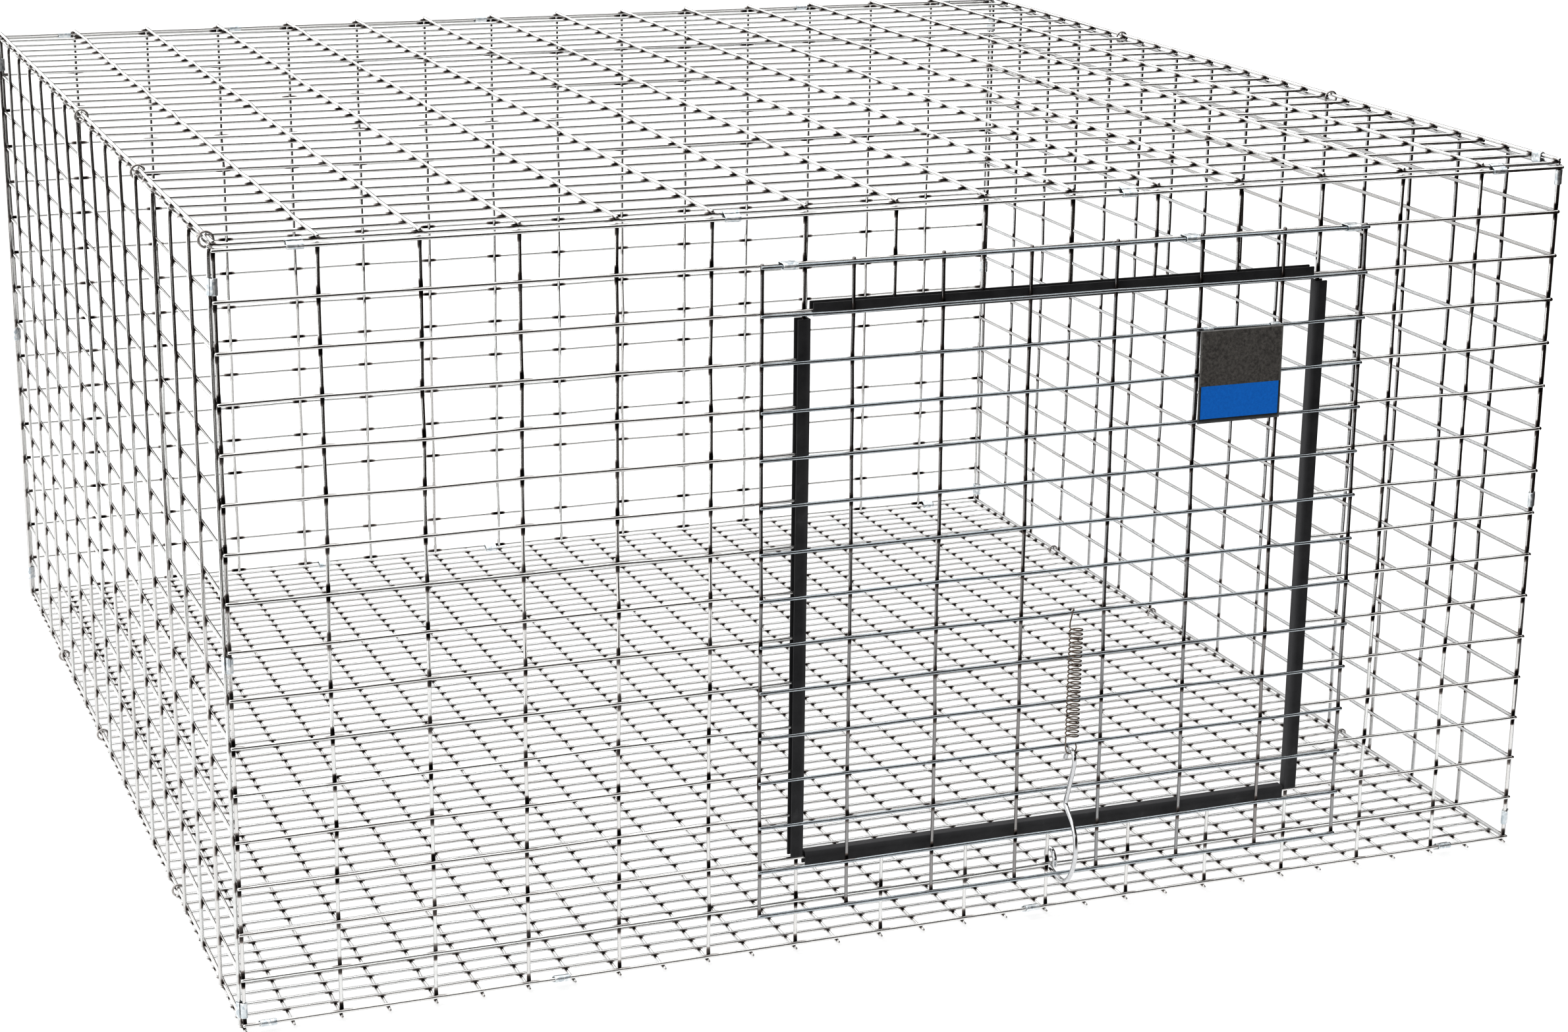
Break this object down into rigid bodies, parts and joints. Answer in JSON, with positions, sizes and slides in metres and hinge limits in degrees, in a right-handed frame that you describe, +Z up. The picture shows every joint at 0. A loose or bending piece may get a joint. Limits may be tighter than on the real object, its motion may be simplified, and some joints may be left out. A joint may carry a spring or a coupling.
{
  "type": "wire kennel cage",
  "caption": "Welded wire mesh cage for one small animal, with a top-hinged front door, plastic edge guards and a sprung wire latch.",
  "frame": {"origin": "on the ground under the middle of the cage's mesh", "axes": "+X to the right seen from the door side, -Y out of the door side, +Z up"},
  "size_m": [0.7714, 0.7994, 0.419],
  "materials": {
    "wall_wire": "hot-dip galvanised, satin with small dark weld marks",
    "floor_wire": "hot-dip galvanised, satin",
    "door_wire": "galvanised, brighter than the walls",
    "clip_sheet": "galvanised sheet, pale spangle",
    "ring_wire": "galvanised wire",
    "latch_wire": "galvanised wire, worn smooth",
    "spring_wire": "zinc plated spring wire",
    "black_plastic": "moulded, matt",
    "label_sheet": "dark textured coating with a plain blue band"
  },
  "bodies": {
    "cage": {"floor_panel": "floor_wire", "roof_panel": "wall_wire", "front_panel": "wall_wire", "back_panel": "wall_wire", "left_panel": "wall_wire", "right_panel": "wall_wire", "edge_guard_top": "black_plastic", "edge_guard_bottom": "black_plastic", "edge_guard_left": "black_plastic", "edge_guard_right": "black_plastic", "clips_top_front": "clip_sheet", "clips_top_back": "clip_sheet", "clips_top_right": "clip_sheet", "clips_bottom_front": "clip_sheet", "clips_bottom_back": "clip_sheet", "clips_corner_front_left": "clip_sheet", "clips_corner_front_right": "clip_sheet", "clips_corner_back_left": "clip_sheet", "clips_corner_back_right": "clip_sheet", "rings_top_left": "ring_wire", "rings_top_right": "ring_wire", "rings_bottom_left": "ring_wire", "rings_bottom_right": "ring_wire", "door_hinge_clips": "clip_sheet"},
    "door": {"door_panel": "door_wire", "label_plate": "label_sheet"},
    "latch_lever": {"latch_lever": "latch_wire"},
    "latch_spring": {"latch_spring": "spring_wire"}
  },
  "joints": [
    {"name": "door_hinge", "type": "hinge", "parent": "cage", "child": "door", "pos_m": [0.0762, -0.39049, 0.38692], "axis": [-1, 0, 0], "range_deg": [0, 180]},
    {"name": "lever_pivot", "type": "hinge", "parent": "cage", "child": "latch_lever", "pos_m": [0.07885, -0.38512, 0.03132], "axis": [1, 0, 0], "range_deg": [0, 95], "deforming": ["latch_spring"]},
    {"name": "spring_swing", "type": "hinge", "parent": "door", "child": "latch_spring", "pos_m": [0.0802, -0.39355, 0.18292], "axis": [-1, 0, 0], "range_deg": [0, 60]}
  ]
}
